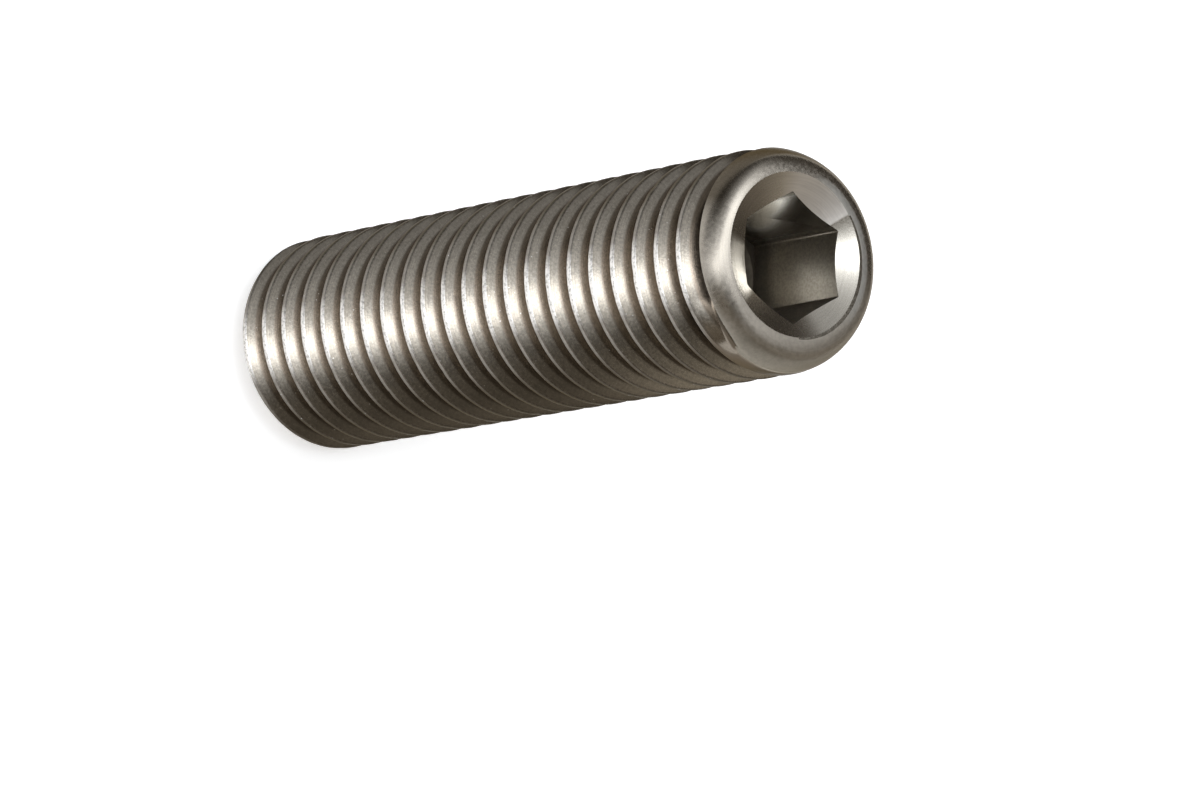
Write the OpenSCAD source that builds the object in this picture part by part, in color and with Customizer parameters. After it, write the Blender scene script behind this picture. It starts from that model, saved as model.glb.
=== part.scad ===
// Hexagon socket set screw with a flat point, M10 x 35.
// The screw stands on its flat point: the origin is the middle of the point
// face and +Z runs along the axis to the socket end. Two flats of the socket
// face +X and -X. Sizes are in millimetres and degrees.

/* [Thread] */
// Diameter over the thread crests
crest_d = 9.9; // [9.4:0.1:10.4]
// Distance between neighbouring crests
pitch = 1.5; // [1.25:0.05:1.75]
// Angle from +X to where the groove meets the level of the point face
groove_angle = 100; // [0:5:355]
// Height below the rim at which the groove has run out
runout_gap = 1.15; // [0.5:0.05:1.5]
// Height over which the groove fades from full depth to nothing
runout_length = 0.15; // [0.1:0.05:1.5]

/* [Ends] */
// Length over both ends
screw_length = 35; // [20:1:40]
// Diameter of the flat point
point_d = 7.4; // [6:0.1:7.8]
// Slope of the point chamfer against the face
point_angle = 45; // [30:1:55]
// Outer diameter of the flat rim round the socket
rim_d = 8.5; // [8:0.1:9]
// Radius of the rounded shoulder outside the rim
shoulder_radius = 2.4; // [1.8:0.1:4]

/* [Socket] */
// Width across the flats of the hexagon
socket_af = 5; // [4:0.1:6]
// Depth of the hexagon below the rim
socket_depth = 6; // [4:0.1:12]
// Diameter of the countersunk mouth
mouth_d = 7.5; // [7:0.1:7.9]
// Full angle of the countersink
mouth_angle = 120; // [90:5:130]
// Full angle of the drilled bottom
drill_angle = 120; // [90:2:150]

/* [Hidden] */

// Flats round one turn of the thread
turn_steps = 32;
// Flats along the rounded shoulder
shoulder_steps = 5;
// Smoothness of the round faces
round_steps = 96;
// Distance by which a cutting shape passes the face it cuts
pass = 0.3;
// Gap between the drilled hole and the flats of the hexagon
drill_gap = 0.05;

// The metric thread form, worked out from the full height of its 60 degree triangle
flank_tilt = 30;
form_height = pitch * cos(flank_tilt);
thread_depth = form_height * 17 / 24;
crest_flat = pitch / 8;
root_radius = form_height / 6;
crest_r = crest_d / 2;
root_r = crest_r - thread_depth;

// Half width and height of the rounded root, which meets both flanks smoothly
root_half = root_radius * cos(flank_tilt);
root_rise = root_radius * (1 - sin(flank_tilt));

// One pitch of the thread outline as [height, radius], from one crest to the next
outline = [
    [-crest_flat / 2, crest_r],
    [crest_flat / 2, crest_r],
    [pitch / 2 - root_half, root_r + root_rise],
    [pitch / 2, root_r],
    [pitch / 2 + root_half, root_r + root_rise]
];
outline_size = len(outline);

// The thread is run past both ends, and the blank trims it
start_z = -1.5 * pitch;
turns = ceil(screw_length / pitch) + 3;
last_row = turns * outline_size;

// How much of its depth the groove has at a height
function groove_share(z) =
    min(1, max(0, (screw_length - runout_gap - z) / runout_length));

// A point on the thread: column i is the angle, and row k the place in the outline
function thread_point(i, k) =
    let (turn = (i + 1 / 2) / turn_steps,
         spot = outline[k % outline_size],
         crest_z = start_z + pitch * (floor(k / outline_size) + turn - groove_angle / 360),
         share = groove_share(crest_z + pitch / 2),
         r = crest_r - (crest_r - spot[1]) * share)
    [r * cos(360 * turn), r * sin(360 * turn), crest_z + spot[0]];

// Past the last column the thread goes on one pitch higher in the first one
function point_index(i, k) =
    i < turn_steps ? i * (last_row + 1) + k : k + outline_size;

// The open edge of the thread at each end, with the step from one turn to the next
low_edge = concat(
    [for (i = [0 : turn_steps]) point_index(i, 0)],
    [for (k = [outline_size - 1 : -1 : 1]) point_index(0, k)]
);
high_edge = concat(
    [for (i = [0 : turn_steps - 1]) point_index(i, last_row)],
    [for (k = [1 : outline_size]) point_index(turn_steps - 1, last_row - k)]
);

// A solid bar with the helical thread, longer than the screw
module threaded_bar() {
    column_points = [
        for (i = [0 : turn_steps - 1])
            for (k = [0 : last_row])
                thread_point(i, k)
    ];
    low_centre = len(column_points);
    high_centre = low_centre + 1;
    centres = [
        [0, 0, start_z],
        [0, 0, start_z + pitch * turns]
    ];
    wall = [
        for (i = [0 : turn_steps - 1])
            let (rows = i < turn_steps - 1 ? last_row : last_row - outline_size)
            for (k = [0 : rows - 1])
                let (a = point_index(i, k),
                     b = point_index(i + 1, k),
                     c = point_index(i + 1, k + 1),
                     d = point_index(i, k + 1))
                each [[a, d, c], [a, c, b]]
    ];
    low_cap = [
        for (j = [0 : len(low_edge) - 1])
            [low_centre, low_edge[j], low_edge[(j + 1) % len(low_edge)]]
    ];
    high_cap = [
        for (j = [0 : len(high_edge) - 1])
            [high_centre, high_edge[(j + 1) % len(high_edge)], high_edge[j]]
    ];
    polyhedron(concat(column_points, centres), concat(wall, low_cap, high_cap));
}

// The rounded shoulder is an arc that would meet the crests smoothly
shoulder_sweep = acos(1 - (crest_r - rim_d / 2) / shoulder_radius);
shoulder_centre_r = crest_r - shoulder_radius;
shoulder_centre_z = screw_length - shoulder_radius * sin(shoulder_sweep);

function shoulder_point(s) =
    let (angle = shoulder_sweep * s / shoulder_steps)
    [shoulder_centre_r + shoulder_radius * cos(angle),
     shoulder_centre_z + shoulder_radius * sin(angle)];

// The turned blank: point chamfer, a body clear of the crests, rounded shoulder
module blank() {
    blank_r = crest_r + pass;
    chamfer_height = (blank_r - point_d / 2) * tan(point_angle);
    // The shoulder's lowest flat is drawn on until it is clear of the crests
    low_point = shoulder_point(1);
    flat_step = shoulder_point(2) - low_point;
    start_point = low_point + flat_step * (blank_r - low_point[0]) / flat_step[0];
    rotate_extrude($fn = round_steps)
        polygon(concat(
            [[0, 0], [point_d / 2, 0], [blank_r, chamfer_height], start_point],
            [for (s = [1 : shoulder_steps]) shoulder_point(s)],
            [[0, screw_length]]
        ));
}

// The socket: hexagon, drilled bottom and countersunk mouth
module socket() {
    corner_r = socket_af / 2 / cos(30);
    drill_r = socket_af / 2 - drill_gap;
    drill_height = drill_r / tan(drill_angle / 2);
    mouth_r = mouth_d / 2;
    mouth_height = mouth_r / tan(mouth_angle / 2);
    floor_z = screw_length - socket_depth;

    translate([0, 0, floor_z])
        rotate(30)
        cylinder(r = corner_r, h = socket_depth + pass, $fn = 6);
    // The drill reaches up into the hexagon, so that its tip opens into the socket
    rotate_extrude($fn = round_steps)
        polygon([[0, floor_z - drill_height], [drill_r, floor_z],
                 [drill_r, floor_z + pass], [0, floor_z + pass]]);
    translate([0, 0, screw_length - mouth_height])
        cylinder(r1 = 0, r2 = mouth_r * (mouth_height + pass) / mouth_height,
                 h = mouth_height + pass, $fn = round_steps);
}

module set_screw() {
    color("#8d867c")
        difference() {
            intersection() {
                threaded_bar();
                blank();
            }
            socket();
        }
}

set_screw();
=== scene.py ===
import math

import bpy
from mathutils import Matrix, Vector, noise


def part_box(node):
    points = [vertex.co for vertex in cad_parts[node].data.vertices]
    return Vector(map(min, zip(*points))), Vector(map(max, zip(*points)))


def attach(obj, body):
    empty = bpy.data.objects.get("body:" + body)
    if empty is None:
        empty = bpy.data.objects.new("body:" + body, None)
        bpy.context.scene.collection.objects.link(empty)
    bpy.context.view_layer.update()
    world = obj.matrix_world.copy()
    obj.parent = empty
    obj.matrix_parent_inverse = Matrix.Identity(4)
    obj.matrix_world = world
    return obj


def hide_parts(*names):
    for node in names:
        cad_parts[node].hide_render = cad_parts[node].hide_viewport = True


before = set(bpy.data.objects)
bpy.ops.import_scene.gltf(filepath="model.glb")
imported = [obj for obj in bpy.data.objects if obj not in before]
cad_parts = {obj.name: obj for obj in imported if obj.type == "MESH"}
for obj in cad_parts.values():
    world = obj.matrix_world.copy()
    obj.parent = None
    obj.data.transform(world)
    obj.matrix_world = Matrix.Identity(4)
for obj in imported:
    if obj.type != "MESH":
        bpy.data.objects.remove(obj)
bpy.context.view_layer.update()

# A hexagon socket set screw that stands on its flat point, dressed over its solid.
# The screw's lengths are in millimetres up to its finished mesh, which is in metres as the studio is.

MM = 0.001
LOW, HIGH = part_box("set_screw")

# Thread, in mm. The crests stay a hair inside the solid's box
BOX_GAP = 0.004
LENGTH = (HIGH[2] - LOW[2]) / MM
CREST_R = min(HIGH[0], HIGH[1]) / MM - BOX_GAP
PITCH = 1.5
# Angle from +X to where the groove meets the level of the point face
GROOVE_ANGLE = math.radians(100)
FLANK_TILT = 30
FORM_HEIGHT = PITCH * math.cos(math.radians(FLANK_TILT))
THREAD_DEPTH = FORM_HEIGHT * 17 / 24
ROOT_R = CREST_R - THREAD_DEPTH
ROOT_RADIUS = FORM_HEIGHT / 6
CREST_FLAT = PITCH / 8
# Rolling leaves the lower edge of each crest the sharper one
CREST_EDGE = 0.11
CREST_UNDER_EDGE = 0.03
# How far below the rim the groove has run out, and over what height it does
RUNOUT_GAP = 1.15
RUNOUT_LENGTH = 0.15

# Ends, in mm. Shoulder, crown and dome are arcs, each up to its turn in degrees
POINT_R = 3.7
POINT_EDGE = 0.12
SHOULDER_RADIUS = 2.4
SHOULDER_START = 3
SHOULDER_TURN = 35
CROWN_RADIUS = 0.716
CROWN_TURN = 78
DOME_RADIUS = 2.3

# Socket, in mm
SOCKET_AF = 5.0
SOCKET_DEPTH = 6.0
SOCKET_CORNER = 0.12
SOCKET_CORNER_R = SOCKET_AF / 2 / math.cos(math.radians(30))
FLOOR_Z = LENGTH - SOCKET_DEPTH
MOUTH_R = 3.555
MOUTH_SLOPE = math.radians(28)
# The countersink is cut a little off centre and leans to the front
MOUTH_BACK = 0.20
MOUTH_ASIDE = 0.12
MOUTH_LEAN = math.radians(3)
# How far from the axis it comes
MOUTH_REACH = 3.78
DRILL_SLOPE = math.radians(30)
DRILL_GAP = 0.05

# Fineness of the mesh
TURN_STEPS = 144
ROUND_STEPS = 192
ROOT_STEPS = 8
EDGE_STEPS = 4
# Two points close to its ends keep a flank flat between the rounded edges
FLANK_SHARES = (0.08, 0.92)
SHOULDER_STEPS = 18
CROWN_STEPS = 10
DOME_STEPS = 6

# How far a cutting shape passes the face it cuts, in mm
CLEAR = 0.3
# How many turns the thread starts below the point, and how many it has to spare
TURNS_BELOW = 1.5
TURNS_SPARE = 3

# Directions in the floor's plane: front is the side that the camera looks from
FRONT = Vector((-0.2705, -0.9627, 0.0))
SIDE = Vector((-0.9627, 0.2705, 0.0))


# ---------------------------------------------------------------- profiles

def arc(centre, radius, start, end, steps):
    """Points of an arc in a plane, from one angle to another, in degrees"""
    points = []
    for s in range(steps + 1):
        angle = math.radians(start + (end - start) * s / steps)
        points.append((centre[0] + radius * math.cos(angle), centre[1] + radius * math.sin(angle)))
    return points


def thread_outline():
    """One pitch of the thread as (height, radius), from the middle of one crest to the next"""
    root = arc((PITCH / 2, ROOT_R + ROOT_RADIUS), ROOT_RADIUS, 180 + FLANK_TILT, 360 - FLANK_TILT, ROOT_STEPS)
    middle = ROOT_STEPS // 2

    def side(edge):
        """From the middle of a crest down to the root, with the crest's edge rounded"""
        edge_start = CREST_FLAT / 2 - edge * math.tan(math.radians(90 - FLANK_TILT) / 2)
        crest_edge = arc((edge_start, CREST_R - edge), edge, 90, FLANK_TILT, EDGE_STEPS)
        top, bottom = Vector(crest_edge[-1]), Vector(root[0])
        flank = [tuple(top.lerp(bottom, share)) for share in FLANK_SHARES]
        return [(0.0, CREST_R)] + crest_edge + flank + root[:middle]

    upper, under = side(CREST_EDGE), side(CREST_UNDER_EDGE)
    return upper + [root[middle]] + [(PITCH - height, radius) for height, radius in reversed(under[1:])]


def groove_share(height):
    """How much of its depth the groove has at a height"""
    return min(1.0, max(0.0, (LENGTH - RUNOUT_GAP - height) / RUNOUT_LENGTH))


def mesh_object(name, points, faces):
    mesh = bpy.data.meshes.new(name)
    mesh.from_pydata(points, [], faces)
    mesh.update()
    made = bpy.data.objects.new(name, mesh)
    bpy.context.scene.collection.objects.link(made)
    return made


def threaded_bar():
    """A closed bar with the helical thread, longer than the screw"""
    outline = thread_outline()
    size = len(outline)
    turns = math.ceil(LENGTH / PITCH) + TURNS_SPARE
    last_row = turns * size
    start = -TURNS_BELOW * PITCH
    points = []
    for column in range(TURN_STEPS):
        turn = column / TURN_STEPS
        angle = 2 * math.pi * turn
        for row in range(last_row + 1):
            height, radius = outline[row % size]
            crest_z = start + PITCH * (row // size + turn - GROOVE_ANGLE / (2 * math.pi))
            share = groove_share(crest_z + PITCH / 2)
            reach = CREST_R - (CREST_R - radius) * share
            points.append((reach * math.cos(angle), reach * math.sin(angle), crest_z + height))

    def index(column, row):
        # Past the last column the thread goes on one pitch higher in the first one
        if column < TURN_STEPS:
            return column * (last_row + 1) + row
        return row + size

    low_centre = len(points)
    points.append((0.0, 0.0, start))
    points.append((0.0, 0.0, start + PITCH * turns))
    faces = []
    for column in range(TURN_STEPS):
        rows = last_row if column < TURN_STEPS - 1 else last_row - size
        for row in range(rows):
            faces.append((index(column, row), index(column + 1, row),
                          index(column + 1, row + 1), index(column, row + 1)))
    low_edge = [index(column, 0) for column in range(TURN_STEPS + 1)]
    low_edge += [index(0, row) for row in range(size - 1, 0, -1)]
    high_edge = [index(column, last_row) for column in range(TURN_STEPS)]
    high_edge += [index(TURN_STEPS - 1, last_row - row) for row in range(1, size + 1)]
    for centre, edge in ((low_centre, low_edge), (low_centre + 1, high_edge[::-1])):
        for here, after in zip(edge, edge[1:] + edge[:1]):
            faces.append((centre, after, here))
    return mesh_object("bar", points, faces)


def revolved(name, profile):
    """A closed solid of revolution from (radius, height) points, both ends on the axis"""
    points = [(0.0, 0.0, profile[0][1])]
    for radius, height in profile[1:-1]:
        for step in range(ROUND_STEPS):
            angle = 2 * math.pi * (step + 0.5) / ROUND_STEPS
            points.append((radius * math.cos(angle), radius * math.sin(angle), height))
    points.append((0.0, 0.0, profile[-1][1]))
    last = len(points) - 1
    rings = len(profile) - 2
    faces = []
    for step in range(ROUND_STEPS):
        after = (step + 1) % ROUND_STEPS
        faces.append((0, 1 + after, 1 + step))
        for ring in range(rings - 1):
            low = 1 + ring * ROUND_STEPS
            high = low + ROUND_STEPS
            faces.append((low + step, low + after, high + after, high + step))
        top = 1 + (rings - 1) * ROUND_STEPS
        faces.append((top + step, top + after, last))
    return mesh_object(name, points, faces)


def corner_arc(before, corner, after, radius, steps):
    """Rounds one corner of an outline: the points of the arc that replaces it"""
    corner = Vector(corner)
    towards_before = (Vector(before) - corner).normalized()
    towards_after = (Vector(after) - corner).normalized()
    half = towards_before.angle(towards_after) / 2
    centre = corner + (towards_before + towards_after).normalized() * radius / math.sin(half)
    spoke = corner + towards_before * radius / math.tan(half) - centre
    sweep = math.pi - 2 * half
    if spoke.cross(corner - centre) < 0:
        sweep = -sweep
    points = []
    for s in range(steps + 1):
        cos, sin = math.cos(sweep * s / steps), math.sin(sweep * s / steps)
        points.append((centre.x + spoke.x * cos - spoke.y * sin, centre.y + spoke.x * sin + spoke.y * cos))
    return points


def blank_profile():
    """The turned blank: point and chamfer, a body clear of the crests, shoulder, crown and rim"""
    blank_r = CREST_R + CLEAR
    chamfer_end = (blank_r, blank_r - POINT_R)
    point_edge = corner_arc((0, 0), (POINT_R, 0), chamfer_end, POINT_EDGE, EDGE_STEPS)
    # Three arcs that run on smoothly: shoulder, crown, and a dome with its top at the rim
    turn, crown_turn = math.radians(SHOULDER_TURN), math.radians(CROWN_TURN)
    shoulder_top_r = CREST_R - SHOULDER_RADIUS * (1 - math.cos(turn))
    crown_centre_r = shoulder_top_r - CROWN_RADIUS * math.cos(turn)
    dome_centre = (crown_centre_r - (DOME_RADIUS - CROWN_RADIUS) * math.cos(crown_turn), LENGTH - DOME_RADIUS)
    crown_centre = (crown_centre_r, dome_centre[1] + (DOME_RADIUS - CROWN_RADIUS) * math.sin(crown_turn))
    shoulder_centre = (CREST_R - SHOULDER_RADIUS,
                       crown_centre[1] - (SHOULDER_RADIUS - CROWN_RADIUS) * math.sin(turn))
    # The arc starts a little below the crests, so that it cuts them cleanly
    shoulder = arc(shoulder_centre, SHOULDER_RADIUS, SHOULDER_START, SHOULDER_TURN, SHOULDER_STEPS)
    crown = arc(crown_centre, CROWN_RADIUS, SHOULDER_TURN, CROWN_TURN, CROWN_STEPS)
    dome = arc(dome_centre, DOME_RADIUS, CROWN_TURN, 90, DOME_STEPS)
    lowest, second = Vector(shoulder[0]), Vector(shoulder[1])
    step = second - lowest
    body_top = lowest + step * (blank_r - lowest.x) / step.x
    outer = shoulder[:-1] + crown[:-1] + dome
    return [(0.0, 0.0)] + point_edge + [chamfer_end, tuple(body_top)] + outer + [(0.0, LENGTH)]


# The blank's outline from the top of its body up over the shoulder
UPPER_OUTLINE = [spot for spot in blank_profile() if spot[0] > MOUTH_R and spot[1] > LENGTH / 2]


def shoulder_r(height):
    """The blank's radius at a height near its shoulder"""
    for (low_r, low_z), (high_r, high_z) in zip(UPPER_OUTLINE, UPPER_OUTLINE[1:]):
        if low_z <= height <= high_z and high_z > low_z:
            return low_r + (high_r - low_r) * (height - low_z) / (high_z - low_z)
    return MOUTH_R


def socket_prism():
    """The hexagon that the socket is broached with, its corners slightly rounded"""
    corners = [(SOCKET_CORNER_R * math.cos(math.radians(30 + 60 * k)),
                SOCKET_CORNER_R * math.sin(math.radians(30 + 60 * k))) for k in range(6)]
    outline = []
    for k in range(6):
        outline += corner_arc(corners[k - 1], corners[k], corners[(k + 1) % 6], SOCKET_CORNER, EDGE_STEPS)
    bottom, top = FLOOR_Z, LENGTH + CLEAR
    count = len(outline)
    points = [(x, y, bottom) for x, y in outline] + [(x, y, top) for x, y in outline]
    faces = [tuple(range(count - 1, -1, -1)), tuple(range(count, 2 * count))]
    for k in range(count):
        after = (k + 1) % count
        faces.append((k, after, count + after, count + k))
    return mesh_object("hexagon", points, faces)


def drill_tip():
    """The cone that the drill leaves under the hexagon"""
    radius = SOCKET_AF / 2 - DRILL_GAP
    tip = FLOOR_Z - radius * math.tan(DRILL_SLOPE)
    top = FLOOR_Z + CLEAR
    return revolved("drill", [(0.0, tip), (radius, FLOOR_Z), (radius, top), (0.0, top)])


def countersink():
    """The cone that opens the socket's mouth"""
    tip = -MOUTH_R * math.tan(MOUTH_SLOPE)
    wide = MOUTH_R + CLEAR / math.tan(MOUTH_SLOPE)
    cone = revolved("countersink", [(0.0, tip), (wide, CLEAR), (0.0, CLEAR)])
    middle = SIDE * MOUTH_ASIDE - FRONT * MOUTH_BACK + Vector((0.0, 0.0, LENGTH))
    cone.data.transform(Matrix.Translation(middle) @ Matrix.Rotation(-MOUTH_LEAN, 4, SIDE))
    return cone


# ---------------------------------------------------------------- the screw

def apply_modifiers(thing):
    bpy.context.view_layer.update()
    graph = bpy.context.evaluated_depsgraph_get()
    made = bpy.data.meshes.new_from_object(thing.evaluated_get(graph))
    thing.modifiers.clear()
    old = thing.data
    thing.data = made
    bpy.data.meshes.remove(old)


def combine(thing, operation, other):
    """Cuts one solid with another, and removes the tool"""
    cut = thing.modifiers.new("cut", "BOOLEAN")
    cut.operation = operation
    cut.object = other
    cut.solver = "MANIFOLD"
    apply_modifiers(thing)
    mesh = other.data
    bpy.data.objects.remove(other)
    bpy.data.meshes.remove(mesh)


# Wear of the crests, in mm: its reach from them, its even part, its dents, and the height it stops at
WEAR_REACH = 0.07
WEAR_EVEN = 0.012
WEAR_DENTS = 0.10
WEAR_TOP = LENGTH - 1.2
# Broad and fine unevenness per mm, and how much of the even part there is between them
BROAD_WEAR, FINE_WEAR = 2.3, 6.1
WEAR_BIAS = 0.4
# Dents per mm, how strong the noise is before there is one, and what sets their pattern apart
DENTED_WEAR = 1.7
DENT_START = 0.45
DENT_PATTERN = Vector((7.0, 3.0, 1.0))


def wear_crests(thing):
    """Small dents and flats along the crests, all of them inwards"""
    for vertex in thing.data.vertices:
        x, y, z = vertex.co
        radius = math.hypot(x, y)
        crest = (radius - (CREST_R - WEAR_REACH)) / WEAR_REACH
        if crest <= 0 or z > WEAR_TOP:
            continue
        place = Vector((x, y, z))
        rough = noise.noise(place * BROAD_WEAR) * 0.5 + noise.noise(place * FINE_WEAR) * 0.5
        dent = max(0.0, noise.noise(place * DENTED_WEAR + DENT_PATTERN) - DENT_START)
        inward = WEAR_EVEN * max(0.0, WEAR_BIAS + rough) + WEAR_DENTS * dent
        scale = 1 - inward * crest / radius
        vertex.co = (x * scale, y * scale, z)


# The least radius that is divided by, in mm
LEAST_R = 0.001
# The finishes, in the order of the screw's materials
ROLLED, TURNED, POINT, BROACHED, COUNTERSUNK, DRILLED = range(6)
# How near a face must lie to a surface to take its finish, in mm
FINISH_EDGE = 0.05
POINT_FACE_EDGE = 0.005
SOCKET_EDGE = 0.01
# How much a face leans, as the cosine between its normal and the way named
CHAMFER_DOWN = 0.3
WALL_UP = 0.5
MOUTH_INWARD = 0.3


def face_finish(centre, normal):
    """Which finish a face has, by where it lies and which way it faces"""
    radius = math.hypot(centre.x, centre.y)
    inward = -(normal.x * centre.x + normal.y * centre.y) / max(radius, LEAST_R)
    on_chamfer = abs(radius - POINT_R - centre.z) < FINISH_EDGE and normal.z < -CHAMFER_DOWN
    in_socket = radius < SOCKET_CORNER_R + SOCKET_EDGE
    if centre.z < POINT_FACE_EDGE:
        return POINT
    if on_chamfer and centre.z < CREST_R - POINT_R:
        return TURNED
    if in_socket and centre.z < FLOOR_Z + FINISH_EDGE:
        return DRILLED
    if in_socket and normal.z < WALL_UP:
        return BROACHED
    if radius < MOUTH_REACH + FINISH_EDGE and inward > MOUTH_INWARD:
        return COUNTERSUNK
    if centre.z > LENGTH - RUNOUT_GAP and radius > shoulder_r(centre.z) - FINISH_EDGE:
        return TURNED
    return ROLLED


# The angle between faces from which their edge is sharp
SHARP_ANGLE = math.radians(20)


def build_screw():
    """The whole screw as one mesh in metres, with a finish for each of its faces"""
    screw = threaded_bar()
    combine(screw, "INTERSECT", revolved("blank", blank_profile()))
    combine(screw, "DIFFERENCE", socket_prism())
    combine(screw, "DIFFERENCE", drill_tip())
    combine(screw, "DIFFERENCE", countersink())
    wear_crests(screw)
    screw.name = "screw_body"
    screw.data.name = "screw_body"
    mesh = screw.data
    mesh.materials.clear()
    for face in mesh.polygons:
        face.material_index = face_finish(face.center, face.normal)
    mesh.transform(Matrix.Scale(MM, 4))
    mesh.shade_smooth()
    mesh.set_sharp_from_angle(angle=SHARP_ANGLE)
    return screw


# ---------------------------------------------------------------- finishes

def feed(tree, node, inputs):
    """Links or sets the inputs of a node, by their names or numbers"""
    for name, value in inputs.items():
        if isinstance(value, bpy.types.NodeSocket):
            tree.links.new(value, node.inputs[name])
        else:
            node.inputs[name].default_value = value


def add(tree, kind, inputs=None, **settings):
    """Adds a node, with its settings and the values or links of its inputs"""
    made = tree.nodes.new(kind)
    for name, value in settings.items():
        setattr(made, name, value)
    feed(tree, made, inputs or {})
    return made


def maths(tree, operation, first, second=0.0):
    return add(tree, "ShaderNodeMath", {0: first, 1: second}, operation=operation).outputs[0]


def total(tree, first, *others):
    """Adds values up"""
    for other in others:
        first = maths(tree, "ADD", first, other)
    return first


def product(tree, first, *others):
    """Multiplies values or masks with one another"""
    for other in others:
        first = maths(tree, "MULTIPLY", first, other)
    return first


def ramp(tree, value, low, high, start=0.0, end=1.0):
    """A smooth step from start to end while the value goes from low to high"""
    made = add(tree, "ShaderNodeMapRange", {"Value": value, "From Min": low, "From Max": high,
                                            "To Min": start, "To Max": end},
               interpolation_type="SMOOTHSTEP")
    return made.outputs["Result"]


# The span that the values of a noise mostly keep to
NOISE_SPAN = (0.3, 0.7)


def spread(tree, value, start, end):
    """Spreads the values of a noise from start to end"""
    return ramp(tree, value, *NOISE_SPAN, start, end)


def blend(tree, share, first, second, mode="MIX"):
    """Mixes two colours by a share from 0 to 1"""
    made = add(tree, "ShaderNodeMix", {0: share, 6: first, 7: second}, data_type="RGBA", blend_type=mode)
    return made.outputs[2]


def shaded(tree, colour, factor):
    """Darkens and lightens a colour by a factor that changes over the surface"""
    return blend(tree, 1.0, colour, factor, "MULTIPLY")


def effect_group(name, inputs, outputs):
    """An empty node group with named values in and out"""
    group = bpy.data.node_groups.new(name, "ShaderNodeTree")
    for label, kind, value in inputs:
        socket = group.interface.new_socket(label, in_out="INPUT", socket_type=kind)
        if value is not None:
            socket.default_value = value
    for label, kind in outputs:
        group.interface.new_socket(label, in_out="OUTPUT", socket_type=kind)
    return group, group.nodes.new("NodeGroupInput").outputs, group.nodes.new("NodeGroupOutput")


FLOAT, VECTOR = "NodeSocketFloat", "NodeSocketVector"


def place_group():
    """Where a point lies on the screw: radius and height in mm, and the direction from the axis"""
    group, _, out = effect_group("place on the screw", [], [
        ("Point", VECTOR), ("Radius", FLOAT), ("Height", FLOAT), ("Direction", VECTOR)])
    spot = add(group, "ShaderNodeTexCoord").outputs["Object"]
    point = add(group, "ShaderNodeVectorMath", {0: spot, "Scale": 1 / MM}, operation="SCALE").outputs[0]
    apart = add(group, "ShaderNodeSeparateXYZ", {0: point})
    flat = add(group, "ShaderNodeCombineXYZ", {0: apart.outputs[0], 1: apart.outputs[1]}).outputs[0]
    radius = add(group, "ShaderNodeVectorMath", {0: flat}, operation="LENGTH").outputs["Value"]
    direction = add(group, "ShaderNodeVectorMath", {0: flat}, operation="NORMALIZE").outputs[0]
    feed(group, out, {"Point": point, "Radius": radius, "Height": apart.outputs[2], "Direction": direction})
    return group


def streak_group():
    """Fine lines left by turning or rolling, which run round the axis"""
    group, given, out = effect_group("turning lines", [
        ("Direction", VECTOR, None), ("Across", FLOAT, 0.0), ("Lines per mm", FLOAT, 20.0),
        ("Length", FLOAT, 3.0)], [("Lines", FLOAT)])
    around = add(group, "ShaderNodeVectorMath", {0: given["Direction"], "Scale": given["Length"]},
                 operation="SCALE").outputs[0]
    across = product(group, given["Across"], given["Lines per mm"])
    fine = add(group, "ShaderNodeTexNoise", {"Vector": around, "W": across, "Scale": 1.0,
                                             "Detail": 3.0, "Roughness": 0.6}, noise_dimensions="4D")
    feed(group, out, {"Lines": fine.outputs["Fac"]})
    return group


# How soft the edge of a speck is, in parts of the distance between specks
SPECK_EDGE = 0.06


def grain_group():
    """Fine grain, broad shade and small dark specks"""
    group, given, out = effect_group("grain and specks", [
        ("Point", VECTOR, None), ("Grain per mm", FLOAT, 12.0), ("Specks per mm", FLOAT, 3.0),
        ("Speck size", FLOAT, 0.12)], [("Grain", FLOAT), ("Shade", FLOAT), ("Specks", FLOAT)])
    point = given["Point"]
    grain = add(group, "ShaderNodeTexNoise", {"Vector": point, "Scale": given["Grain per mm"],
                                              "Detail": 4.0, "Roughness": 0.65}).outputs["Fac"]
    shade = add(group, "ShaderNodeTexNoise", {"Vector": point, "Scale": 0.55, "Detail": 3.0,
                                              "Roughness": 0.5}).outputs["Fac"]
    cells = add(group, "ShaderNodeTexVoronoi", {"Vector": point, "Scale": given["Specks per mm"]})
    chance = add(group, "ShaderNodeSeparateColor", {0: cells.outputs["Color"]}).outputs[0]
    size = product(group, given["Speck size"], chance)
    inside = maths(group, "SUBTRACT", size, cells.outputs["Distance"])
    feed(group, out, {"Grain": grain, "Shade": shade, "Specks": ramp(group, inside, 0.0, SPECK_EDGE)})
    return group


PLACE = place_group()
STREAKS = streak_group()
GRAIN = grain_group()

# How much the metal brightens where it is seen edge on
EDGE_TINT = (0.45, 0.42, 0.38, 1)


def new_finish(name):
    """A metal material that still lacks its colour, roughness and relief"""
    material = bpy.data.materials.new(name)
    material.use_nodes = True
    tree = material.node_tree
    tree.nodes.clear()
    out = tree.nodes.new("ShaderNodeOutputMaterial")
    metal = tree.nodes.new("ShaderNodeBsdfPrincipled")
    metal.inputs["Metallic"].default_value = 1.0
    metal.inputs["Specular Tint"].default_value = EDGE_TINT
    tree.links.new(metal.outputs[0], out.inputs["Surface"])
    return material, tree, metal


def complete(tree, metal, colour, rough, relief, strength, depth_mm):
    """Gives the metal its colour, its roughness and its fine relief"""
    bump = add(tree, "ShaderNodeBump", {"Height": relief, "Strength": strength, "Distance": depth_mm * MM})
    feed(tree, metal, {"Base Color": colour, "Roughness": rough, "Normal": bump.outputs["Normal"]})


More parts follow.
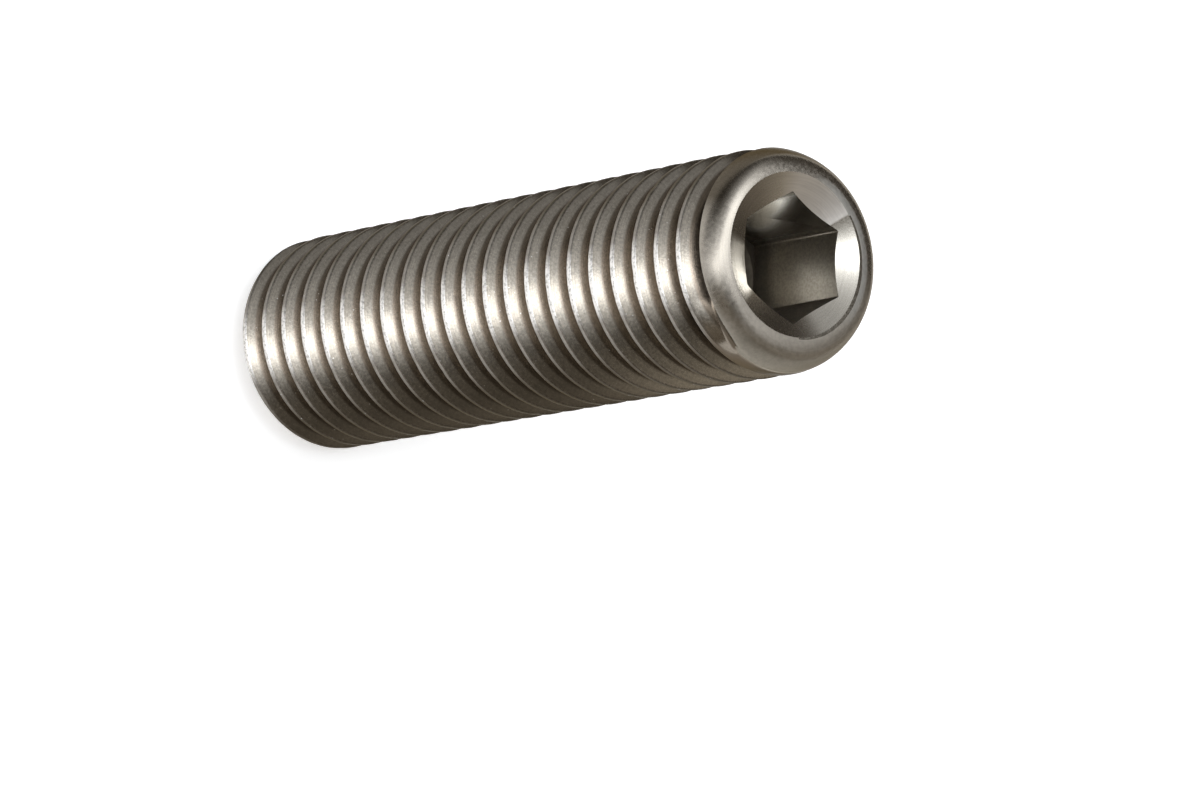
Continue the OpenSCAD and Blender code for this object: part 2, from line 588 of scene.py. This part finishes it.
def placed(tree, group, inputs=None):
    """Places an effect in a material, and gives what it puts out"""
    return add(tree, "ShaderNodeGroup", node_tree=group, inputs=inputs).outputs


def towards(tree, direction, way):
    """The cosine of the angle between a direction and a fixed way"""
    return add(tree, "ShaderNodeVectorMath", {0: direction, 1: way}, operation="DOT_PRODUCT").outputs["Value"]


def bearing(degrees):
    """The way at an angle round the axis, from the front by way of the side"""
    angle = math.radians(degrees)
    return FRONT * math.cos(angle) + SIDE * math.sin(angle)


# Colours of the thread: flanks, painted shade on the underside, painted light on its low end by the socket,
# painted shade in the grooves, painted shade and highlight on the crests, and specks
STEEL = (0.36, 0.33, 0.285, 1)
WARM_STEEL = (0.32, 0.285, 0.235, 1)
UNDERSIDE_PAINTED_SHADE = (0.07, 0.06, 0.045, 1)
LOW_END_PAINTED_LIGHT = (0.52, 0.485, 0.42, 1)
GROOVE_FRONT_PAINTED_SHADE = (0.30, 0.25, 0.20, 1)
GROOVE_PAINTED_SHADE = (0.13, 0.105, 0.078, 1)
CREST_PAINTED_SHADE = (0.10, 0.088, 0.072, 1)
CREST_PAINTED_SHEEN = (0.24, 0.22, 0.195, 1)
CREST_PAINTED_HIGHLIGHT = (0.76, 0.735, 0.70, 1)
PAINTED_SHADE_BY_SHOULDER = (0.05, 0.041, 0.032, 1)
BRIGHT_SPECK = (0.80, 0.78, 0.75, 1)
DARK_SPECK = (0.13, 0.11, 0.09, 1)
# Colours of the shoulder and the rim, with painted light on the crown and painted shade on the shoulder, and
# of the point
TURNED_STEEL = (0.33, 0.305, 0.265, 1)
TURNED_WARM = (0.28, 0.25, 0.21, 1)
CROWN_PAINTED_LIGHT = (0.40, 0.365, 0.315, 1)
SHOULDER_PAINTED_SHADE = (0.09, 0.076, 0.058, 1)
SHOULDER_LOW_PAINTED_SHADE = (0.25, 0.228, 0.19, 1)
GRAINY_RIM = (0.38, 0.365, 0.335, 1)
POINT_STEEL = (0.42, 0.41, 0.40, 1)
POINT_GREY = (0.34, 0.33, 0.32, 1)
# Colours of the socket: countersink with a painted highlight and painted shade, walls with painted light on
# one, drilled bottom, and painted shade deep in the socket
CUT_STEEL = (0.60, 0.565, 0.50, 1)
MOUTH_PAINTED_HIGHLIGHT = (0.96, 0.94, 0.90, 1)
MOUTH_PAINTED_SHADE = (0.33, 0.30, 0.26, 1)
CUT_MATT = (0.80, 0.765, 0.72, 1)
BROACHED_STEEL = (0.42, 0.385, 0.33, 1)
BROACHED_WARM = (0.36, 0.325, 0.275, 1)
WALL_PAINTED_LIGHT = (0.97, 0.95, 0.90, 1)
DRILLED_STEEL = (0.93, 0.91, 0.85, 1)
SOCKET_PAINTED_SHADE = (0.08, 0.068, 0.052, 1)

# Where the marks, painted highlights and painted shades lie, in degrees round the axis from the front by way
# of the side
HIGHLIGHT_AT = 5
GROOVE_END_AT = -46
LIT_WALL_AT = 134
TORN_AT = 162
TORN_EDGE_AT = 160
# Radii over which the thread's crest, groove and root start, and where it is below the crest, in mm
CREST_BAND = (CREST_R - 0.09, CREST_R - 0.03)
BELOW_CREST = (CREST_R - 0.09, CREST_R - 0.16)
GROOVE_BAND = (CREST_R - 0.34, CREST_R - 0.46)
ROOT_BAND = (ROOT_R + 0.16, ROOT_R + 0.06)
# Radii over which the shoulder's painted shade starts outwards, and the grainy rim inwards, in mm
SHOULDER_BAND = (4.2, 4.55)
RIM_BAND = (3.95, 3.80)
# Heights over which the underside's painted shade ends and its painted light starts, in mm
UNDERSIDE_SHADE_TO = (28.0, 20.0)
LOW_LIGHT_FROM = (22.0, 29.0)
# Heights over which the painted shade of the last groove starts, and of its last end, in mm
LAST_GROOVE = (32.3, 32.9)
GROOVE_END = (32.95, 33.1)
# Whole turns that keep the thread's phase above zero, and the half that puts the groove in its middle
PHASE_SHIFT = 10.5
# Radii over which painted shade in the drilled bottom starts, and heights over which it does on the walls, in
# mm
BOTTOM_SHADE_FROM = (1.95, 2.3)
WALL_SHADE_SPAN = (FLOOR_Z + 1.5, FLOOR_Z + 0.7)
# How closely the broach's lines lie along each axis, per mm
BROACH_LINES = (9.0, 9.0, 0.5)


def thread_phase(tree, spot):
    """How far up from one crest to the next a place lies, from 0 to 1"""
    apart = add(tree, "ShaderNodeSeparateXYZ", {0: spot["Direction"]})
    turn = maths(tree, "DIVIDE", maths(tree, "ARCTAN2", apart.outputs[1], apart.outputs[0]), 2 * math.pi)
    crests = maths(tree, "SUBTRACT", maths(tree, "DIVIDE", spot["Height"], PITCH), turn)
    return maths(tree, "FRACT", total(tree, crests, GROOVE_ANGLE / (2 * math.pi) + PHASE_SHIFT))


def rolled_thread():
    """The thread, with painted highlight and shade on its crests, painted shade in its grooves and on its
    underside, and specks
    """
    material, tree, metal = new_finish("rolled thread steel")
    spot = placed(tree, PLACE)
    radius, height = spot["Radius"], spot["Height"]
    lines = placed(tree, STREAKS, {"Direction": spot["Direction"], "Across": radius,
                                   "Lines per mm": 22.0, "Length": 4.0})["Lines"]
    fleck = placed(tree, GRAIN, {"Point": spot["Point"], "Grain per mm": 9.0,
                                 "Specks per mm": 2.2, "Speck size": 0.10})
    to_highlight = towards(tree, spot["Direction"], bearing(HIGHLIGHT_AT))
    side = towards(tree, spot["Direction"], SIDE)
    crest = ramp(tree, radius, *CREST_BAND)
    root = ramp(tree, radius, *ROOT_BAND)
    depth = ramp(tree, radius, *GROOVE_BAND)
    groove = product(tree, depth, maths(tree, "SUBTRACT", 1.0, root))
    body = blend(tree, fleck["Shade"], STEEL, WARM_STEEL)
    # Painted shade darkens the grooves, less at the front where the lamp shows in them
    body = blend(tree, groove, body, blend(tree, ramp(tree, to_highlight, 0.86, 0.99), GROOVE_PAINTED_SHADE, GROOVE_FRONT_PAINTED_SHADE))
    # Painted highlight on the crests along the front, where the lamp shows in them, and painted shade on them
    # elsewhere
    uneven = ramp(tree, fleck["Grain"], 0.36, 0.50, 0.45, 1.0)
    crest_highlight = product(tree, ramp(tree, to_highlight, 0.93, 0.995), uneven)
    top = blend(tree, ramp(tree, to_highlight, 0.68, 0.93), CREST_PAINTED_SHADE, CREST_PAINTED_SHEEN)
    body = blend(tree, crest, body, blend(tree, crest_highlight, top, CREST_PAINTED_HIGHLIGHT))
    # Painted shade darkens the underside, all but the end by the socket, whose flanks get painted light
    under = product(tree, ramp(tree, side, -0.45, -0.85), ramp(tree, height, *UNDERSIDE_SHADE_TO))
    body = blend(tree, product(tree, under, 0.55), body, UNDERSIDE_PAINTED_SHADE)
    flank = maths(tree, "SUBTRACT", 1.0, maths(tree, "MAXIMUM", groove, crest))
    # Painted light lightens the flanks low on the side, by the socket
    low_light = product(tree, ramp(tree, side, -0.40, -0.80), ramp(tree, height, *LOW_LIGHT_FROM), flank)
    body = blend(tree, product(tree, low_light, 0.7), body, LOW_END_PAINTED_LIGHT)
    # Painted shade darkens the last groove's upper flank, beside the shoulder, which is also rougher there
    upper_flank = ramp(tree, thread_phase(tree, spot), 0.38, 0.46)
    front = ramp(tree, towards(tree, spot["Direction"], FRONT), -0.3, 0.1)
    last_groove_shade = product(tree, upper_flank, ramp(tree, height, *LAST_GROOVE),
                      ramp(tree, radius, *BELOW_CREST), front)
    streaked = product(tree, ramp(tree, lines, 0.35, 0.65, 0.90, 1.06),
                       spread(tree, fleck["Grain"], 0.84, 1.16))
    body = shaded(tree, body, streaked)
    body = blend(tree, product(tree, fleck["Specks"], 0.7), body, DARK_SPECK)
    nicks = placed(tree, GRAIN, {"Point": spot["Point"], "Specks per mm": 5.0, "Speck size": 0.20})["Specks"]
    nicks = product(tree, nicks, ramp(tree, fleck["Shade"], 0.50, 0.62))
    body = blend(tree, product(tree, nicks, 0.55), body, BRIGHT_SPECK)
    body = blend(tree, last_groove_shade, body, PAINTED_SHADE_BY_SHOULDER)
    # Painted shade darkens the groove's last end, where the shoulder cuts across it
    near_end = ramp(tree, towards(tree, spot["Direction"], bearing(GROOVE_END_AT)), 0.93, 0.99)
    body = blend(tree, product(tree, near_end, ramp(tree, height, *GROOVE_END), 0.7), body, GROOVE_PAINTED_SHADE)
    rough = total(tree, spread(tree, fleck["Grain"], 0.15, 0.22), product(tree, last_groove_shade, 0.25),
                  product(tree, groove, 0.05), product(tree, crest, 0.15))
    relief = total(tree, product(tree, lines, 0.5), product(tree, fleck["Grain"], 0.5))
    complete(tree, metal, body, rough, relief, strength=0.35, depth_mm=0.007)
    return material


def turned_steel():
    """The shoulder, its crown and the rim, and the chamfer of the point"""
    material, tree, metal = new_finish("turned steel")
    spot = placed(tree, PLACE)
    across = total(tree, spot["Radius"], product(tree, spot["Height"], 0.6))
    lines = placed(tree, STREAKS, {"Direction": spot["Direction"], "Across": across,
                                   "Lines per mm": 16.0, "Length": 2.0})["Lines"]
    fleck = placed(tree, GRAIN, {"Point": spot["Point"], "Grain per mm": 6.0,
                                 "Specks per mm": 2.5, "Speck size": 0.10})
    front = towards(tree, spot["Direction"], FRONT)
    side = towards(tree, spot["Direction"], SIDE)
    body = blend(tree, fleck["Shade"], TURNED_STEEL, TURNED_WARM)
    # Away from the front, painted light lightens the crown and painted shade darkens the shoulder, most on
    # the side and less on the low side
    away = ramp(tree, front, 0.95, 0.72)
    body = blend(tree, away, body, CROWN_PAINTED_LIGHT)
    shoulder_shade = blend(tree, ramp(tree, side, -0.2, 0.4), SHOULDER_LOW_PAINTED_SHADE, SHOULDER_PAINTED_SHADE)
    body = blend(tree, product(tree, away, ramp(tree, spot["Radius"], *SHOULDER_BAND)), body, shoulder_shade)
    rim = product(tree, ramp(tree, spot["Radius"], *RIM_BAND), ramp(tree, front, -0.4, -0.8))
    body = blend(tree, rim, body, GRAINY_RIM)
    body = shaded(tree, body, spread(tree, fleck["Grain"], 0.88, 1.10))
    body = shaded(tree, body, spread(tree, lines, 0.90, 1.05))
    body = blend(tree, product(tree, fleck["Specks"], 0.6), body, DARK_SPECK)
    # The low side is matt from handling
    rough = total(tree, spread(tree, fleck["Grain"], 0.22, 0.30), product(tree, rim, 0.22),
                  ramp(tree, side, -0.2, -0.7, 0.0, 0.18))
    relief = total(tree, product(tree, lines, 0.6), product(tree, fleck["Grain"], 0.4))
    complete(tree, metal, body, rough, relief, strength=0.07, depth_mm=0.007)
    return material


def cropped_point():
    """The flat face of the point, cropped square and left matt"""
    material, tree, metal = new_finish("matt point steel")
    fleck = placed(tree, GRAIN, {"Point": placed(tree, PLACE)["Point"], "Grain per mm": 7.0,
                                 "Specks per mm": 2.0, "Speck size": 0.22})
    body = blend(tree, fleck["Shade"], POINT_STEEL, POINT_GREY)
    body = blend(tree, product(tree, fleck["Specks"], 0.8), body, DARK_SPECK)
    rough = spread(tree, fleck["Grain"], 0.48, 0.62)
    complete(tree, metal, body, rough, fleck["Grain"], strength=0.5, depth_mm=0.02)
    return material


def broached_steel():
    """The walls of the hexagon, with lines drawn along the axis"""
    material, tree, metal = new_finish("broached steel")
    spot = placed(tree, PLACE)
    drawn = add(tree, "ShaderNodeVectorMath", {0: spot["Point"], 1: BROACH_LINES}, operation="MULTIPLY")
    lines = add(tree, "ShaderNodeTexNoise", {"Vector": drawn.outputs[0], "Scale": 1.0, "Detail": 3.0,
                                             "Roughness": 0.6}).outputs["Fac"]
    fleck = placed(tree, GRAIN, {"Point": spot["Point"], "Grain per mm": 9.0,
                                 "Specks per mm": 2.0, "Speck size": 0.10})
    # One wall gets painted light and is smoother, and the others are torn and grainy
    lit_wall = ramp(tree, towards(tree, spot["Direction"], bearing(LIT_WALL_AT)), 0.87, 0.95)
    body = blend(tree, fleck["Shade"], BROACHED_STEEL, BROACHED_WARM)
    body = shaded(tree, body, spread(tree, fleck["Grain"], 0.78, 1.14))
    body = blend(tree, lit_wall, body, WALL_PAINTED_LIGHT)
    # Painted shade darkens the walls near the bottom
    deep_shade = ramp(tree, spot["Height"], *WALL_SHADE_SPAN, 0.0, 0.5)
    body = blend(tree, deep_shade, body, SOCKET_PAINTED_SHADE)
    rough = ramp(tree, lit_wall, 0.0, 1.0, 0.38, 0.16)
    relief = total(tree, product(tree, lines, 0.3), product(tree, fleck["Grain"], 0.7))
    complete(tree, metal, body, rough, relief, strength=0.35, depth_mm=0.008)
    return material


def countersunk_steel():
    """The countersunk mouth, with the lines and marks of its tool"""
    material, tree, metal = new_finish("countersunk steel")
    spot = placed(tree, PLACE)
    lines = placed(tree, STREAKS, {"Direction": spot["Direction"], "Across": spot["Radius"],
                                   "Lines per mm": 16.0, "Length": 2.0})["Lines"]
    fleck = placed(tree, GRAIN, {"Point": spot["Point"], "Grain per mm": 10.0,
                                 "Specks per mm": 2.5, "Speck size": 0.08})
    # The tool has torn one part of the cone, which is matt up to a sharp line
    torn = product(tree, ramp(tree, towards(tree, spot["Direction"], bearing(TORN_EDGE_AT - 90)), 0.04, 0.08),
                   ramp(tree, towards(tree, spot["Direction"], bearing(TORN_AT)), 0.25, 0.62))
    # Painted shade darkens the half near the front, but for a painted highlight at its middle, which is also
    # smoother
    aside = maths(tree, "ABSOLUTE", towards(tree, spot["Direction"], SIDE))
    near = ramp(tree, towards(tree, spot["Direction"], FRONT), -0.2, 0.5)
    highlight_patch = product(tree, near, ramp(tree, aside, 0.45, 0.30))
    half = blend(tree, highlight_patch, MOUTH_PAINTED_SHADE, MOUTH_PAINTED_HIGHLIGHT)
    body = blend(tree, torn, blend(tree, near, CUT_STEEL, half), CUT_MATT)
    body = shaded(tree, body, spread(tree, lines, 0.90, 1.05))
    body = blend(tree, product(tree, fleck["Specks"], 0.5), body, DARK_SPECK)
    rough = total(tree, spread(tree, fleck["Grain"], 0.23, 0.29), product(tree, torn, 0.16),
                  product(tree, highlight_patch, -0.19))
    relief = total(tree, product(tree, lines, 0.6), product(tree, fleck["Grain"], 0.4))
    complete(tree, metal, body, rough, relief, strength=0.3, depth_mm=0.008)
    return material


def drilled_steel():
    """The bottom of the socket: a drilled cone with painted shade in its outer corner"""
    material, tree, metal = new_finish("drilled steel")
    spot = placed(tree, PLACE)
    fleck = placed(tree, GRAIN, {"Point": spot["Point"], "Grain per mm": 6.0,
                                 "Specks per mm": 3.0, "Speck size": 0.25})
    # Painted shade darkens the outer corner of the bottom, which is also rougher
    deep_shade = ramp(tree, total(tree, spot["Radius"], product(tree, fleck["Shade"], 0.2)), *BOTTOM_SHADE_FROM)
    body = blend(tree, deep_shade, DRILLED_STEEL, SOCKET_PAINTED_SHADE)
    body = blend(tree, product(tree, fleck["Specks"], 0.7), body, DARK_SPECK)
    rough = total(tree, spread(tree, fleck["Grain"], 0.2, 0.3), product(tree, deep_shade, 0.4))
    complete(tree, metal, body, rough, fleck["Grain"], strength=0.3, depth_mm=0.008)
    return material


# ---------------------------------------------------------------- studio

FLOOR_REACH = 2.0
FLOOR_WHITE = (0.97, 0.97, 0.97, 1)
FLOOR_GLOW = 0.45


def studio_floor():
    corners = [(FLOOR_REACH * x, FLOOR_REACH * y, 0) for x, y in ((-1, -1), (1, -1), (1, 1), (-1, 1))]
    floor = mesh_object("floor", corners, [(0, 1, 2, 3)])
    material = bpy.data.materials.new("white floor")
    material.use_nodes = True
    tree = material.node_tree
    shader = tree.nodes["Principled BSDF"]
    feed(tree, shader, {"Base Color": FLOOR_WHITE, "Roughness": 0.9, "Specular IOR Level": 0.0,
                        "Emission Color": FLOOR_WHITE})
    # The floor shows white to the camera and in the metal, and still holds the soft shadow
    ray = add(tree, "ShaderNodeLightPath")
    seen = maths(tree, "MAXIMUM", ray.outputs["Is Camera Ray"],
                 maths(tree, "MAXIMUM", ray.outputs["Is Glossy Ray"], ray.outputs["Is Transmission Ray"]))
    tree.links.new(product(tree, seen, FLOOR_GLOW), shader.inputs["Emission Strength"])
    floor.data.materials.append(material)


# The lamp leans to the front and stands a little aside
LAMP_LEAN = math.radians(18)
LAMP_ASIDE = 0.14
LAMP_DISTANCE = 0.6
LAMP_WIDTH = 0.15
LAMP_LENGTH = 1.5
LAMP_BRIGHTNESS = 1.6
LAMP_COLOUR = (0.965, 1.0, 1.05)
# The lamp's soft skirt fades slowly to one side and quickly to the other, and ends behind the screw
SKIRT_GLOW = 2.9
SKIRT_SLOW = 0.27
SKIRT_QUICK = 0.17
SKIRT_BACK = (-0.62, -0.48)
SKIRT_AT_FLOOR = 0.5
# The room is warm and dim, and lighter low on the side away from the skirt
ROOM_LIGHT = 0.08
ROOM_LOW = 0.22
ROOM_COLOUR = (1.12, 1.0, 0.84)


def studio_light():
    """A long soft lamp over the screw, in a grey room"""
    lamp = bpy.data.lights.new("softbox", "AREA")
    lamp.shape = "RECTANGLE"
    lamp.size, lamp.size_y = LAMP_WIDTH, LAMP_LENGTH
    lamp.color = LAMP_COLOUR
    # An area lamp of power P shows P / (pi x area) to whoever looks at it
    lamp.energy = LAMP_BRIGHTNESS * math.pi * LAMP_WIDTH * LAMP_LENGTH
    holder = bpy.data.objects.new("softbox", lamp)
    bpy.context.scene.collection.objects.link(holder)
    up = Vector((0.0, 0.0, 1.0))
    lamp_way = (FRONT * math.sin(LAMP_LEAN) + up * math.cos(LAMP_LEAN) + SIDE * LAMP_ASIDE).normalized()
    along = (FRONT - lamp_way * FRONT.dot(lamp_way)).normalized()
    across = along.cross(lamp_way)
    holder.matrix_world = (Matrix.Translation(lamp_way * LAMP_DISTANCE)
                           @ Matrix((across, along, lamp_way)).transposed().to_4x4())

    world = bpy.data.worlds.new("grey room")
    bpy.context.scene.world = world
    world.use_nodes = True
    tree = world.node_tree
    direction = add(tree, "ShaderNodeTexCoord").outputs["Generated"]
    side, front, height = (towards(tree, direction, way) for way in (SIDE, FRONT, up))
    off = maths(tree, "SUBTRACT", side, LAMP_ASIDE)
    slow = maths(tree, "EXPONENT", maths(tree, "DIVIDE", maths(tree, "MAXIMUM", off, 0.0), -SKIRT_SLOW))
    away = maths(tree, "DIVIDE", maths(tree, "MINIMUM", off, 0.0), SKIRT_QUICK)
    quick = maths(tree, "EXPONENT", product(tree, away, away, -0.5))
    glow = product(tree, slow, quick, SKIRT_GLOW, ramp(tree, front, *SKIRT_BACK),
                   ramp(tree, height, 0.0, 0.4, SKIRT_AT_FLOOR, 1.0))
    low = product(tree, ramp(tree, side, 0.0, -0.5), ramp(tree, height, 1.0, 0.5))
    shade = total(tree, ROOM_LIGHT, product(tree, low, ROOM_LOW))
    warm = add(tree, "ShaderNodeVectorMath", {0: ROOM_COLOUR, "Scale": shade}, operation="SCALE").outputs[0]
    cool = add(tree, "ShaderNodeVectorMath", {0: LAMP_COLOUR, "Scale": glow}, operation="SCALE").outputs[0]
    lit = add(tree, "ShaderNodeVectorMath", {0: warm, 1: cool}).outputs[0]
    tree.links.new(lit, tree.nodes["Background"].inputs["Color"])


# The camera's lens and sensor in mm, the nearest and farthest it sees, the way it looks, its distance,
# its roll, and its aim beside the screw's middle
CAMERA_LENS = 220.2
CAMERA_SENSOR = 36.0
CAMERA_CLIP = (0.01, 20.0)
CAMERA_HEADING = math.radians(17.0)
CAMERA_PITCH = math.radians(50.93)
CAMERA_DISTANCE = 0.32672
CAMERA_TURN = math.radians(80.53)
AIM_SHIFT = (0.00483, -0.00007, 0.00099)


def studio_camera():
    camera = bpy.data.cameras.new("camera")
    camera.lens = CAMERA_LENS
    camera.sensor_width = CAMERA_SENSOR
    camera.clip_start, camera.clip_end = CAMERA_CLIP
    holder = bpy.data.objects.new("camera", camera)
    bpy.context.scene.collection.objects.link(holder)
    centre = (Vector(LOW) + Vector(HIGH)) / 2
    aim = centre + Vector(AIM_SHIFT)
    forward = Vector((math.sin(CAMERA_HEADING) * math.cos(CAMERA_PITCH),
                      math.cos(CAMERA_HEADING) * math.cos(CAMERA_PITCH),
                      -math.sin(CAMERA_PITCH)))
    level = forward.cross(Vector((0, 0, 1))).normalized()
    rise = level.cross(forward)
    up = rise * math.cos(CAMERA_TURN) - level * math.sin(CAMERA_TURN)
    right = forward.cross(up)
    turn = Matrix((right, up, -forward)).transposed()
    holder.matrix_world = Matrix.Translation(aim - forward * CAMERA_DISTANCE) @ turn.to_4x4()
    bpy.context.scene.camera = holder


screw = build_screw()
for finish in (rolled_thread, turned_steel, cropped_point, broached_steel, countersunk_steel, drilled_steel):
    screw.data.materials.append(finish())
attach(screw, "root")
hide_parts("set_screw")

studio_floor()
studio_light()
studio_camera()
bpy.context.scene.view_settings.view_transform = "Standard"
